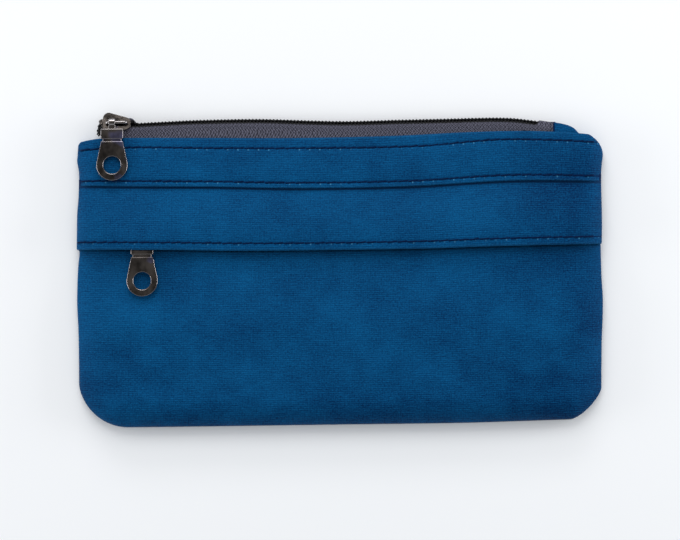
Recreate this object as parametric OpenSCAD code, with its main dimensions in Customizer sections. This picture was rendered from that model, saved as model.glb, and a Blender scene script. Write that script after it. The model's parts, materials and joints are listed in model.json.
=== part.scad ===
// Flat zippered pouch in waxed canvas, lying on its back.
// X runs along the zips, Y runs up to the main zip at the top edge, Z stands out of the front.
// The origin is the middle of the pouch's own footprint, on the plane that it lies on.
// Heights up the pouch (Y) are given from the bottom edge, and in_frame() moves them to the origin.

/* [Pouch] */
// Width from side seam to side seam
pouch_w = 210; // [205:1:215]
// Thickness of the waxed canvas
canvas_t = 0.8; // [0.6:0.1:0.8]
// Thickness of the lining cloth
lining_t = 0.3; // [0.2:0.1:0.3]
// Radius of the bottom corner on the main zip's closed side
corner_left = 19; // [12:0.5:20]
// Radius of the bottom corner on the other side
corner_right = 15; // [12:0.5:20]

/* [Zips] */
// Height of the main zip's chain above the bottom edge
main_chain_y = 121.1; // [121:0.1:121.5]
// Height of the main zip's chain above the table
main_chain_z = 5.2; // [5.1:0.1:5.2]
// How far the main zip leans back over the top edge, in degrees
main_lean = 12; // [11:1:13]
// Height of the pocket zip's chain above the bottom edge
pocket_chain_y = 75.6; // [75.6:0.1:76]
// Height of the pocket zip's chain above the table
pocket_chain_z = 6; // [5.9:0.1:6]
// Thickness of the zip tape
tape_t = 0.5; // [0.4:0.05:0.5]
// Travel of the main slider
main_travel = 165; // [120:5:165]
// Travel of the pocket slider
pocket_travel = 150; // [120:5:150]

/* [Sliders and pulls] */
// Length of a slider body
slider_l = 11; // [10.5:0.1:11]
// Width of a slider body at its nose
slider_w = 9.2; // [8.8:0.1:9.2]
// Thickness of a slider body over both plates
slider_t = 4; // [3.8:0.1:4]
// Length of a pull from its hinge line to its tip
pull_l = 23.5; // [22:0.5:24]
// Width of the pull's round end
pull_w = 12.5; // [11:0.5:13]
// Radius of the hole through the pull's round end
pull_hole_r = 3.5; // [3:0.1:3.6]
// Thickness of the pull
pull_t = 1.5; // [1.3:0.1:1.5]

/* [Stitching] */
// Length of one visible stitch
stitch_l = 3.5; // [3:0.1:3.8]
// Distance from one stitch to the next
stitch_pitch = 4.1; // [4:0.1:5]
// Width of the thread
thread_w = 0.5; // [0.4:0.1:0.6]

/* [Hidden] */
$fn = 48;
gap = 0.05;
half_w = pouch_w / 2;

// Heights up the pouch of its edges and seams
lower_edge_y = 70.7;
flap_edge_y = 70.5;
flap_hinge_y = 95.3;
band_edge_y = 96;
canvas_top_y = 115.7;
back_top_y = 118.5;
backing_y = [83.5, 101];
lining_top_y = 110;

// Heights above the table of each layer, as [height up the pouch, height above the table]
lower_top = [[0, 11.3], [36, 11.3], [44, 10.95], [52, 10], [60, 9], [66, 8.45], [lower_edge_y, 8.3]];
flap_middle = [
    [flap_edge_y, 11.6], [74, 12], [79, 12], [84, 11.2], [90, 9.6], [flap_hinge_y, 8.1]
];
band_top = [[band_edge_y, 9.5], [103, 9.3], [104, 9.2], [109, 8.65], [canvas_top_y, 7.65]];
band_fold_t = 2;
band_fold_y = 103;
backing_top = 7.2;
front_lining_top = [
    [0, 5.7], [62, 5.7], [69.5, 3.1], [81, 3.1], [86, 5.1], [90, 5.9], [106, 5.9], [lining_top_y, 6.8]
];
pocket_lining_lift = 0.35;
pocket_lining_top_y = 98;
rim_z = canvas_t + 0.2;
flap_t = 1;

// The zips: a row of coil each side of a gap that a slider's post runs along
coil_t = 1.8;
row_in = 0.7;
row_out = 2.6;
slot_t = tape_t + 0.4;
channel_half = row_out + 0.25;
plate_t = (slider_t - coil_t - 0.4) / 2;
slider_reach = slider_w / 2;
tail_half = channel_half + 0.55;
post_w = 0.9;
bar_r = 0.6;
loop_r = 0.75;
loop_wall = 0.75;
loop_w = 2.7;
bar_lift = slider_t / 2 + loop_r + loop_wall + 0.2;
bail_half = 3.9;
bail_bend_r = 0.8;

main_slider_x = -88.7;
main_pull_x = -90.4;
main_coil_x = [-94.6, 82.6];
main_tape_x = [-96.4, 85];
pocket_slider_x = -77.2;
pocket_pull_x = -78.9;
pocket_coil_x = [-83.2, 78.8];
pocket_tape_x = [-86.5, 84];
stop_l = 1.6;
main_pull_slope = 5.5;
pocket_pull_slope = 4.4;
tab_x = [85.2, 95.6];
pocket_tape_top_y = 86.5;

// A pull's stations from its hinge line, and its widths there
strap_end = 2.4;
block_end = 6.8;
groove_end = 7.6;
block_w = 9;
neck_w = 8.7;
groove_w = 7.8;
groove_t = 1;

// The rows of stitches
top_stitch_y = 111.6;
band_stitch_y = 98.2;
flap_stitch_y = 73.6;
back_stitch_y = 114.6;
stitch_span = [-97, 97];

// The main tape's back half turns down past the slider's side and runs under it to the back
tape_turn = slider_reach + 0.6;
lean_y = cos(main_lean);
lean_z = -sin(main_lean);
turn_y = main_chain_y + tape_turn * lean_y;
pouch_d = turn_y + 0.15 + tape_t / 2;

// Where the sheets are measured: fractions of the half width, and of the height up the panel
columns = [-1, -0.985, -0.955, -0.91, -0.85, -0.75, -0.35, 0, 0.35, 0.75, 0.85, 0.91, 0.955, 0.985, 1];
rises = [0, 0.015, 0.06, 0.13, 0.22, 0.36, 0.5, 0.62, 0.74, 0.86, 1];

// ---- Shape of the pouch ----

function smooth(t) = let(c = min(1, max(0, t))) c * c * (3 - 2 * c);
function round_fall(t) = let(c = min(1, max(0, t))) sqrt(1 - c * c);
function corner_rise(x, r) = let(d = min(r, max(0, abs(x) - half_w + r))) r - sqrt(r * r - d * d);
function bottom_edge(x) = corner_rise(x, x < 0 ? corner_left : corner_right);

// The sides fall in a wide curve low on the pouch and in a tight one beside the zips
function side_flat(y) = half_w * (0.75 + 0.16 * smooth((y - 60) / 28));
function side_fall(x, y, reach) = round_fall((abs(x) - side_flat(y)) / (reach - side_flat(y)));
function bottom_fall(x, y) = round_fall(1 - (y - bottom_edge(x)) / 12);
function settled(x, y, z, rim, reach) = rim + (z - rim) * side_fall(x, y, reach) * bottom_fall(x, y);

module in_frame() {
    translate([0, -pouch_d / 2, 0]) children();
}

// A sheet between two heights, over the columns and stations from one edge to the other
module sheet(reach, low, high, stations, top, bottom) {
    xs = [for (c = columns) reach * c];
    count = len(stations);
    spots = [for (x = xs, v = stations) [x, low(x) + v * (high(x) - low(x))]];
    upper = [for (p = spots) [p.x, p.y, top(p.x, p.y)]];
    lower = [for (p = spots) [p.x, p.y, bottom(p.x, p.y)]];
    n = len(spots);
    cells = [for (i = [0 : len(xs) - 2], j = [0 : count - 2]) i * count + j];
    long_edges = [for (i = [0 : len(xs) - 2]) i * count];
    last = (len(xs) - 1) * count;
    polyhedron(
        concat(upper, lower),
        concat(
            [for (a = cells) [a, a + 1, a + count]],
            [for (a = cells) [a + 1, a + count + 1, a + count]],
            [for (a = cells) [n + a, n + a + count, n + a + 1]],
            [for (a = cells) [n + a + 1, n + a + count, n + a + count + 1]],
            [for (a = long_edges) [a, a + count, n + a + count, n + a]],
            [for (a = long_edges) let(b = a + count - 1) [b, n + b, n + b + count, b + count]],
            [for (j = [0 : count - 2]) [j, n + j, n + j + 1, j + 1]],
            [for (j = [0 : count - 2]) let(b = last + j) [b, b + 1, n + b + 1, n + b]]
        ),
        convexity = 6
    );
}

// Fractions of the way from the first height up the pouch to the last
function stations_of(ys) = [for (y = ys) (y - ys[0]) / (ys[len(ys) - 1] - ys[0])];
function heights_of(table) = [for (p = table) p[0]];

// A flat shape, drawn as [up the pouch, above the table], drawn out along the zips
module along_zip(span) {
    translate([span[0], 0, 0]) rotate([90, 0, 90]) linear_extrude(span[1] - span[0]) children();
}

// The outline of a strip of a given thickness that follows a few points
function across(a, b) = let(d = (b - a) / norm(b - a)) [-d.y, d.x];
function strip(path, t) =
    let(last = len(path) - 1)
    let(sides = [for (i = [0 : last]) across(path[max(0, i - 1)], path[min(last, i + 1)]) * t / 2])
    concat([for (i = [0 : last]) path[i] + sides[i]], [for (i = [last : -1 : 0]) path[i] - sides[i]]);

// The back outline: rounded corners at the bottom, nearly square ones at the top
function arc(centre, r, from, to, steps) =
    [for (i = [0 : steps]) let(a = from + (to - from) * i / steps) centre + r * [cos(a), sin(a)]];
function back_outline(inset, top, top_r) =
    let(w = half_w - inset, l = corner_left - inset, r = corner_right - inset)
    concat(
        arc([-w + l, inset + l], l, 180, 270, 8),
        arc([w - r, inset + r], r, 270, 360, 8),
        arc([w - top_r, top - top_r], top_r, 0, 90, 4),
        arc([-w + top_r, top - top_r], top_r, 90, 180, 4)
    );

// ---- Canvas ----

module back_panel() {
    color("#0b4571") in_frame() linear_extrude(canvas_t) polygon(back_outline(0, back_top_y, 4));
}

module lower_panel() {
    color("#0c4a7a") in_frame()
        sheet(
            half_w, function(x) bottom_edge(x), function(x) lower_edge_y, rises,
            function(x, y) settled(x, y, lookup(y, lower_top), rim_z + canvas_t, half_w),
            function(x, y) settled(x, y, lookup(y, lower_top) - canvas_t, rim_z, half_w)
        );
}

// Under the band's folded edge the canvas is double, and the flap is sewn in beside it
function band_under(y) = lookup(y, band_top) - (y > band_fold_y ? canvas_t : band_fold_t);

module top_band() {
    color("#0c4a79") in_frame()
        sheet(
            half_w, function(x) band_edge_y, function(x) canvas_top_y - corner_rise(x, 4),
            stations_of(heights_of(band_top)),
            function(x, y) settled(x, y, lookup(y, band_top), rim_z + canvas_t, half_w),
            function(x, y) settled(x, y, band_under(y), rim_z, half_w)
        );
}

// The flap turns about the rolled edge where it leaves the band's seam
module zip_flap() {
    color("#0d4e7f") in_frame() {
        sheet(
            half_w, function(x) flap_edge_y, function(x) flap_hinge_y,
            stations_of(heights_of(flap_middle)),
            function(x, y) settled(x, y, lookup(y, flap_middle) + flap_t / 2, rim_z + 2, half_w),
            function(x, y) settled(x, y, lookup(y, flap_middle) - flap_t / 2, rim_z + 1, half_w)
        );
        translate([-side_flat(flap_hinge_y), flap_hinge_y, lookup(flap_hinge_y, flap_middle)])
            rotate([0, 90, 0]) cylinder(h = 2 * side_flat(flap_hinge_y), r = flap_t / 2);
    }
}

// The canvas strip behind the flap, between the pocket zip and the band
module flap_backing() {
    color("#0b4571") in_frame()
        sheet(
            half_w - 0.5, function(x) backing_y[0], function(x) backing_y[1], [0, 0.5, 1],
            function(x, y) settled(x, y, backing_top, rim_z + 0.6, half_w - 0.5),
            function(x, y) settled(x, y, backing_top - canvas_t, rim_z + 0.1, half_w - 0.5)
        );
}

// A folded canvas tab that closes the main zip's end
module zip_end_tab() {
    reach = 8;
    slant = 2.6;
    outline = [
        [tab_x[0], -reach], [tab_x[1], -reach], [tab_x[1], 1 - slant], [tab_x[1] - 6, 0.8], [tab_x[0], 1]
    ];
    color("#0c4a79") in_frame() main_zip_place(0)
        translate([0, 0, -1]) linear_extrude(1 + tape_t / 2) polygon(outline);
}

// ---- Linings ----

module back_lining() {
    color("#8d8f94") in_frame() translate([0, 0, canvas_t + gap])
        linear_extrude(lining_t) polygon(back_outline(1.5, 111, 4));
}

module pocket_wall(lift, top_y) {
    reach = half_w - 1.5;
    table = [for (p = front_lining_top) if (p[0] < top_y) p];
    ends = concat(table, [[top_y, lookup(top_y, front_lining_top)]]);
    ys = [for (i = [1 : len(ends) - 1]) ends[i][0]];
    low_part = [0, 0.12, 0.28, 0.6];
    stations = concat([for (v = low_part) v * ys[0] / top_y], [for (y = ys) y / top_y]);
    sheet(
        reach, function(x) bottom_edge(x) + 1.5, function(x) top_y, stations,
        function(x, y) settled(x, y, lookup(y, front_lining_top) + lift, rim_z + 0.5 + lift, reach),
        function(x, y)
            settled(x, y, lookup(y, front_lining_top) + lift - lining_t, rim_z + 0.2 + lift, reach)
    );
}

module front_lining() {
    color("#8d8f94") in_frame() pocket_wall(0, lining_top_y);
}

module pocket_lining() {
    color("#85878c") in_frame() pocket_wall(pocket_lining_lift, pocket_lining_top_y);
}

// ---- Zips ----

// A zip's own frame: X along the chain, Y across the tapes, Z out of the slider's face
module main_zip_place(x) {
    translate([x, main_chain_y, main_chain_z]) rotate([-main_lean, 0, 0]) children();
}

module pocket_zip_place(x) {
    translate([x, pocket_chain_y, pocket_chain_z]) children();
}

function on_main(s) = [main_chain_y + s * lean_y, main_chain_z + s * lean_z];

module main_tape_front() {
    path = [on_main(-row_out), on_main(-slider_reach - 0.6), [109.5, 7.3]];
    color("#494b57") in_frame() along_zip(main_tape_x) polygon(strip(path, tape_t));
}

module main_tape_back() {
    turn = on_main(tape_turn);
    path = [
        on_main(row_out), on_main(tape_turn - 0.3), [turn_y + 0.1, turn.y - 0.5], [turn_y + 0.1, 2.3],
        [turn_y - 0.9, 1.5], [turn_y - 3, 1.15], [112, 1.15]
    ];
    color("#494b57") in_frame() along_zip(main_tape_x) polygon(strip(path, tape_t));
}

// One row of the coil, from its toothed edge to the tape
module coil_row(span, side) {
    y = side > 0 ? row_in : -row_out;
    translate([span[0], y, -coil_t / 2]) cube([span[1] - span[0], row_out - row_in, coil_t]);
}

module main_coil_front() {
    color("#16171a") in_frame() main_zip_place(0) coil_row(main_coil_x, -1);
}

module main_coil_back() {
    color("#16171a") in_frame() main_zip_place(0) coil_row(main_coil_x, 1);
}

module pocket_coil_lower() {
    color("#16171a") in_frame() pocket_zip_place(0) coil_row(pocket_coil_x, -1);
}

module pocket_coil_upper() {
    color("#16171a") in_frame() pocket_zip_place(0) coil_row(pocket_coil_x, 1);
}

module pocket_tape_lower() {
    y = pocket_chain_y;
    z = pocket_chain_z;
    path = [[y - row_out, z], [y - slider_reach - 0.4, z], [67, 6.7], [63.5, 7]];
    color("#494b57") in_frame() along_zip(pocket_tape_x) polygon(strip(path, tape_t));
}

module pocket_tape_upper() {
    y = pocket_chain_y + row_out;
    color("#494b57") in_frame() translate([pocket_tape_x[0], y, pocket_chain_z - tape_t / 2])
        cube([pocket_tape_x[1] - pocket_tape_x[0], pocket_tape_top_y - y, tape_t]);
}

// A metal clip round each row, where the slider stops when the zip is shut
module top_stops(end_x) {
    for (side = [-1, 1])
        translate([end_x - stop_l, side > 0 ? row_in : -row_out, -coil_t / 2 - 0.15])
            cube([stop_l, row_out - row_in, coil_t + 0.3]);
}

// A metal clip over both rows, where the slider stops when the zip is open
module bottom_stop(end_x) {
    translate([end_x, -row_out, -coil_t / 2 - 0.15]) cube([stop_l, 2 * row_out, coil_t + 0.3]);
}

module main_top_stops() {
    color("#3a3634") in_frame() main_zip_place(0) top_stops(main_coil_x[0]);
}

module main_bottom_stop() {
    color("#3a3634") in_frame() main_zip_place(0) bottom_stop(main_coil_x[1]);
}

module pocket_top_stops() {
    color("#3a3634") in_frame() pocket_zip_place(0) top_stops(pocket_coil_x[0]);
}

module pocket_bottom_stop() {
    color("#3a3634") in_frame() pocket_zip_place(0) bottom_stop(pocket_coil_x[1]);
}

// ---- Sliders ----

// The shield outline: broad shoulders at the nose, drawn in to a rounded tail
function slider_outline() =
    let(nose_r = 2.4, tail_r = 2.2, l = slider_l / 2)
    concat(
        arc([-l + nose_r, slider_reach - nose_r], nose_r, 180, 90, 6),
        arc([l - tail_r, tail_half - tail_r], tail_r, 70, 0, 6),
        arc([l - tail_r, -tail_half + tail_r], tail_r, 0, -70, 6),
        arc([-l + nose_r, -slider_reach + nose_r], nose_r, -90, -180, 6)
    );

module slider_body() {
    difference() {
        translate([0, 0, -slider_t / 2]) linear_extrude(slider_t) polygon(slider_outline());
        channel_t = slider_t - 2 * plate_t;
        translate([-slider_l, -channel_half, -channel_t / 2])
            cube([2 * slider_l, 2 * channel_half, channel_t]);
        translate([-slider_l, -slider_w, -slot_t / 2]) cube([2 * slider_l, 2 * slider_w, slot_t]);
    }
    translate([-slider_l / 2 + 0.6, -post_w / 2, -slider_t / 2 + 0.2])
        cube([3, post_w, slider_t - 0.4]);
}

// The bail that the pull's loop runs on: a round bar with its ends bent down to the plate
module slider_crown() {
    leg_z = slider_t / 2;
    straight = bail_half - bail_bend_r;
    translate([-straight, 0, bar_lift]) rotate([0, 90, 0]) cylinder(h = 2 * straight, r = bar_r);
    for (side = [0, 1]) mirror([side, 0, 0]) {
        translate([straight, 0, bar_lift - bail_bend_r]) rotate([90, 0, 0])
            rotate_extrude(angle = 90) translate([bail_bend_r, 0]) circle(bar_r);
        translate([bail_half, 0, leg_z]) cylinder(h = bar_lift - bail_bend_r - leg_z, r = bar_r);
    }
}

module main_slider_body() {
    color("#3c3735") in_frame() main_zip_place(main_slider_x) slider_body();
}

module main_slider_crown() {
    color("#3c3735") in_frame() main_zip_place(main_slider_x) slider_crown();
}

module pocket_slider_body() {
    color("#3c3735") in_frame() pocket_zip_place(pocket_slider_x) slider_body();
}

module pocket_slider_crown() {
    color("#3c3735") in_frame() pocket_zip_place(pocket_slider_x) slider_crown();
}

// ---- Pulls ----

// A pull lies along -Y from its hinge line: loop, cross block, groove, then a teardrop with a hole
module pull_bar(from, to, width, t) {
    translate([-width / 2, -to, -t / 2]) cube([width, to - from, t]);
}

module pull() {
    round_r = pull_w / 2;
    hole_y = -pull_l + round_r;
    neck_y = -groove_end;
    difference() {
        union() {
            rotate([0, 90, 0]) cylinder(h = loop_w, r = loop_r + loop_wall, center = true);
            pull_bar(0.2, strap_end + 0.2, loop_w, pull_t);
            pull_bar(strap_end, block_end, block_w, pull_t);
            pull_bar(block_end - 0.2, groove_end + 0.2, groove_w, groove_t);
            translate([0, 0, -pull_t / 2]) linear_extrude(pull_t)
                polygon(concat(
                    [[-neck_w / 2, neck_y]], arc([0, hole_y], round_r, 155, 385, 32), [[neck_w / 2, neck_y]]
                ));
        }
        rotate([0, 90, 0]) cylinder(h = 2 * loop_w, r = loop_r, center = true);
        translate([0, hole_y, -pull_t]) cylinder(h = 2 * pull_t, r = pull_hole_r);
    }
}

module main_pull() {
    color("#3f3a37") in_frame() main_zip_place(main_pull_x) translate([0, 0, bar_lift])
        rotate([main_lean - main_pull_slope, 0, 0]) pull();
}

module pocket_pull() {
    color("#3f3a37") in_frame() pocket_zip_place(pocket_pull_x) translate([0, 0, bar_lift])
        rotate([-pocket_pull_slope, 0, 0]) pull();
}

// ---- Stitching ----

// A row of stitches, each lying half sunk in the canvas
module stitch_row(span, y, height) {
    count = floor((span[1] - span[0]) / stitch_pitch);
    for (i = [0 : count - 1]) {
        x = span[0] + i * stitch_pitch;
        z = min(height(x), height(x + stitch_l));
        translate([x, y - thread_w / 2, z - thread_w * 0.7]) cube([stitch_l, thread_w, thread_w]);
    }
}

module top_edge_stitches() {
    z = lookup(top_stitch_y, band_top);
    color("#07284a") in_frame() stitch_row(
        stitch_span, top_stitch_y,
        function(x) settled(x, top_stitch_y, z, rim_z + canvas_t, half_w)
    );
}

module band_stitches() {
    z = lookup(band_stitch_y, band_top);
    color("#07284a") in_frame() stitch_row(
        stitch_span, band_stitch_y,
        function(x) settled(x, band_stitch_y, z, rim_z + canvas_t, half_w)
    );
}

module flap_stitches() {
    z = lookup(flap_stitch_y, flap_middle) + flap_t / 2;
    color("#07284a") in_frame() stitch_row(
        stitch_span, flap_stitch_y,
        function(x) settled(x, flap_stitch_y, z, rim_z + 2, half_w)
    );
}

module back_edge_stitches() {
    color("#07284a") in_frame() stitch_row(
        [main_tape_x[0], main_tape_x[1]], back_stitch_y, function(x) thread_w * 0.7
    );
}

back_panel();
lower_panel();
top_band();
zip_flap();
flap_backing();
zip_end_tab();
back_lining();
front_lining();
pocket_lining();
main_tape_front();
main_tape_back();
main_coil_front();
main_coil_back();
main_top_stops();
main_bottom_stop();
main_slider_body();
main_slider_crown();
main_pull();
pocket_tape_upper();
pocket_tape_lower();
pocket_coil_upper();
pocket_coil_lower();
pocket_top_stops();
pocket_bottom_stop();
pocket_slider_body();
pocket_slider_crown();
pocket_pull();
top_edge_stitches();
band_stitches();
flap_stitches();
back_edge_stitches();
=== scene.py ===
# A flat zippered pouch in waxed canvas, lying on its back: the looks of every piece.
# Sizes are in millimetres and angles in degrees. X runs along the zips, Y up to the main zip, and Z out
# of the front. Heights up the pouch are given from its bottom edge, and mesh_of() puts them in the frame.
import json
import math
import random

import bmesh
import bpy
from mathutils import Matrix, Vector, noise


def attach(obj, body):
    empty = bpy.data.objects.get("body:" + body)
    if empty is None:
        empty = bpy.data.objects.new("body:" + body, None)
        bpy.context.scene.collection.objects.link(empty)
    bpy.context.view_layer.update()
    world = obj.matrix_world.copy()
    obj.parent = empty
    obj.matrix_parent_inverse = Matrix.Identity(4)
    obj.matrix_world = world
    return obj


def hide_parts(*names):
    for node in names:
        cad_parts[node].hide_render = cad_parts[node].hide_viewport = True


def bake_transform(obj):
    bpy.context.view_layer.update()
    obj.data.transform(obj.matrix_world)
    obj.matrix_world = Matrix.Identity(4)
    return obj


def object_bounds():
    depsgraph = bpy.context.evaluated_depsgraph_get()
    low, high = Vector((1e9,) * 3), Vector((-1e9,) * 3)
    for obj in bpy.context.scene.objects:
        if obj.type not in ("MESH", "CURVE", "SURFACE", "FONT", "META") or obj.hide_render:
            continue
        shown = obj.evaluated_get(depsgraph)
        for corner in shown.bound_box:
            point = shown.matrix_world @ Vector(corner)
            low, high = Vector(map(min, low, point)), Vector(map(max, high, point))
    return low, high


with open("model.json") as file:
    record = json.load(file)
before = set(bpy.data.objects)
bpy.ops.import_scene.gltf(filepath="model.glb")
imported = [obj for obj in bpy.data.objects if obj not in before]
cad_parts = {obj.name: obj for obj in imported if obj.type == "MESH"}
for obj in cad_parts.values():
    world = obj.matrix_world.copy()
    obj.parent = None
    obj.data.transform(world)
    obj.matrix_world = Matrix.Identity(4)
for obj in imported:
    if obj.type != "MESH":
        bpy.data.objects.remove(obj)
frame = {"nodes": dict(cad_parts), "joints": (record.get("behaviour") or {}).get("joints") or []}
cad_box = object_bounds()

MM = 0.001
HALF_W = (cad_box[1].x - cad_box[0].x) / 2 / MM
BOTTOM_Y = cad_box[0].y / MM
draw = random.Random(7)

# The canvas, and where it is folded, sewn and hinged
CANVAS_T = 0.5
FLAP_T = 0.47
LINING_T = 0.25
TAPE_T = 0.4
FOLD_R = 0.56
FLAP_FOLD_R = 0.53
PANEL_RIM, FLAP_RIM = 1.8, 2.9
SEAM_EASE = 0.5
LOWER_EDGE = 70.7
FLAP_EDGE = 70.5
BAND_EDGE = 96
CANVAS_TOP = 115.7
BACK_TOP = 118.5
TOP_STITCH, BAND_STITCH, FLAP_STITCH, BACK_STITCH = 111.6, 98.2, 73.6, 114.6
STITCH_PITCH = 4.1

# Heights above the table, as [height up the pouch, height above the table]
LOWER_TOP = [(0, 11.3), (36, 11.3), (44, 10.95), (52, 10), (60, 9), (66, 8.45), (70.7, 8.3)]
FLAP_TOP = [(70.5, 12.1), (74, 12.4), (79, 12.3), (84, 11.45), (90, 9.85), (95.3, 8.3), (99, 7.95)]
BAND_TOP = [(96, 9.45), (98.2, 9.4), (103, 9.3), (109, 8.65), (115.7, 7.5)]
LINING_TOP = [(0, 5.7), (62, 5.7), (69.5, 3.1), (81, 3.1), (86, 5.1), (90, 5.9), (106, 5.9), (110, 6.8)]

# How far the seams wander up the pouch along their length, as (height, [(x, wander), ...])
WANDER = [
    (0, [(-105, -0.2), (-80, -0.5), (0, -0.4), (24, -0.4), (52, -0.3), (72, 0.1), (104, 0.8)]),
    (70.5, [(-105, 0.5), (-73, 0.1), (-36, -0.7), (32, -0.7), (61, -0.1), (105, 0.4)]),
    (96, [(-104, 0.6), (-83, 0.1), (-52, -0.4), (-17, -1.4), (28, -1.2), (69, 0.6), (104, 0)]),
    (111.6, [
        (-104, -0.6), (-84, 0.2), (-52, -0.4), (-17, -0.9), (32, -0.6), (63, 1.6), (80, 1.4), (102, 0.2),
    ]),
    (115.7, [
        (-103, -0.9), (-99.6, -0.3), (-95.6, 0.1), (-56, -0.3), (-16, -0.8), (23, -0.4), (52, 0.7),
        (75, 0.9), (95, 0), (101, -0.6),
    ]),
]
# How far each side strays from straight, up the lower panel and then up the flap and band
LOWER_SIDES = (
    [(14, -0.2), (20, -0.1), (37, -0.1), (49, -0.5), (57, -0.3), (64, 0.1), (69, 0.7)],
    [(14, -0.8), (20, -0.7), (32, -0.4), (42, 0.1), (49, 0.2), (57, -0.2), (69, -0.4)],
)
UPPER_SIDES = (
    [(71, -0.3), (78, -0.1), (85, 0.1), (92, 0.7), (102, 0.9), (107, 0.2), (109.5, 0.4), (116, 0.8)],
    [(71, -0.1), (80, 0.1), (97, 0), (102, 0.3), (107, 0.9), (109.5, 0.5), (112, 0.1), (116, -0.3)],
)

# The main zip's line, its lean, and where its teeth lie over the canvas
JOINTS = {joint["name"]: joint for joint in frame["joints"]}
MAIN_PULL_AT = Vector(JOINTS["main_pull_swing"]["pos_m"]) / MM
POCKET_PULL_AT = Vector(JOINTS["pocket_pull_swing"]["pos_m"]) / MM
BAR_LIFT = 3.7
LEAN = 12
CHAIN_Y = MAIN_PULL_AT.y - BOTTOM_Y - BAR_LIFT * math.sin(math.radians(LEAN))
CHAIN_Z = MAIN_PULL_AT.z - BAR_LIFT * math.cos(math.radians(LEAN))
POCKET_CHAIN_Y = POCKET_PULL_AT.y - BOTTOM_Y
POCKET_CHAIN_Z = POCKET_PULL_AT.z - BAR_LIFT
CHAIN_WANDER = [
    (-80, 0), (-68, 0.5), (-56, 0.9), (-32, 1.0), (-10, 0.1), (4, -0.3), (24, 0), (44, 0.2), (62, 0.4),
    (70, 0.1), (76, -0.6), (85, -2.0),
]
COIL_PITCH = 1.4
ROW_IN, ROW_OUT = 0.25, 2.35
NARROWING = 0.3
NO_TAPER = -20


# ---- Lines and heights ----

def smooth(t):
    c = min(1.0, max(0.0, t))
    return c * c * (3 - 2 * c)


def mix(a, b, t):
    return a + (b - a) * t


def round_fall(t):
    c = min(1.0, max(0.0, t))
    return math.sqrt(1 - c * c)


def through(points, t):
    """The height at t of a smooth line through a few (place, height) points."""
    if t <= points[0][0]:
        return points[0][1]
    if t >= points[-1][0]:
        return points[-1][1]
    i = next(k for k in range(len(points) - 1) if t <= points[k + 1][0])
    (x0, y0), (x1, y1) = points[i], points[i + 1]
    before, after = points[max(i - 1, 0)], points[min(i + 2, len(points) - 1)]
    d = x1 - x0
    rise0 = (y1 - before[1]) / (x1 - before[0]) * d
    rise1 = (after[1] - y0) / (after[0] - x0) * d
    u = (t - x0) / d
    start, end = 2 * u**3 - 3 * u**2 + 1, 3 * u**2 - 2 * u**3
    return start * y0 + end * y1 + (u**3 - 2 * u**2 + u) * rise0 + (u**3 - u**2) * rise1


def curve_at(points, t):
    """The point at a fraction t of a smooth curve through a few points."""
    place = t * (len(points) - 1)
    return [through(list(enumerate(values)), place) for values in zip(*points)]


def wander(x, y):
    """How far the cloth at (x, y) has wandered up the pouch."""
    below = max((row for row in WANDER if row[0] <= y), default=WANDER[0])
    above = min((row for row in WANDER if row[0] >= y), default=WANDER[-1])
    low = through(below[1], x)
    if above is below or above[0] == below[0]:
        return low
    return mix(low, through(above[1], x), (y - below[0]) / (above[0] - below[0]))


def strayed(x, y, sides):
    """A side isn't straight: x moved by as much as its side strays, less towards the middle."""
    out = through(sides[0] if x < 0 else sides[1], y) + math.copysign(SEAM_EASE, x)
    return x + out * smooth((abs(x) - 55) / 50)


def corner_rise(x, reach, r, roundness):
    """How far an edge has curved in at x, for a corner of size r. A roundness of 2 is a circle."""
    d = min(r, max(0.0, abs(x) - reach + r))
    return r - (r**roundness - d**roundness) ** (1 / roundness)


def bottom_edge(x, reach=HALF_W):
    if x < 0:
        return corner_rise(x, reach, r=19, roundness=1.95)
    return corner_rise(x, reach, r=12.5, roundness=1.42)


def top_fall(x, reach=HALF_W):
    if x < 0:
        return corner_rise(x, reach, r=1.9, roundness=1.6)
    return corner_rise(x, reach, r=5, roundness=1.35) * 1.35


def side_fall(x, y, reach=HALF_W):
    """1 where the pouch is full, falling to 0 in a round curve at its sides."""
    flat = HALF_W * (0.75 + 0.16 * smooth((y - 60) / 28))
    return round_fall((abs(x) - flat) / (reach - flat))


def settled(x, y, z, rim, reach=HALF_W):
    """A height that falls to the rim in a round curve at the sides and the bottom."""
    curve = 12
    bottom = round_fall(1 - (y - bottom_edge(x, reach)) / curve)
    return rim + (z - rim) * side_fall(x, y, reach) * bottom


def rumple(x, y, size, height):
    """Soft unevenness in cloth, about size across."""
    return height * noise.noise(Vector((x / size, y / size * 1.3, 3.7 + size)))


def pucker(x, y, row):
    """Cloth drawn down by a row of stitches, with small gathers beside it."""
    away = y - row
    gather = 0.09 * math.sin(2 * math.pi * x / STITCH_PITCH + rumple(x, row, 17, 9))
    gather += rumple(x * 2.2, row, 9, 0.22)
    return -0.24 * math.exp(-((away / 0.75) ** 2)) + gather * math.exp(-((away / 2.6) ** 2))


def tucked(x, depth):
    """Cloth turned under lies a little inside the edge of the cloth over it."""
    return x * (1 - 0.008 * min(1.0, depth))


def turned_under(run, edge, r=FOLD_R):
    """Cloth run up to a folded edge and back under it: how far up it is, and how deep below the top."""
    start = edge - r
    if run <= start:
        return run, 0.0
    angle = (run - start) / r
    if angle <= math.pi:
        return start + r * math.sin(angle), r * (1 - math.cos(angle))
    return start - (run - start - math.pi * r), 2 * r


# ---- Making pieces ----

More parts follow.
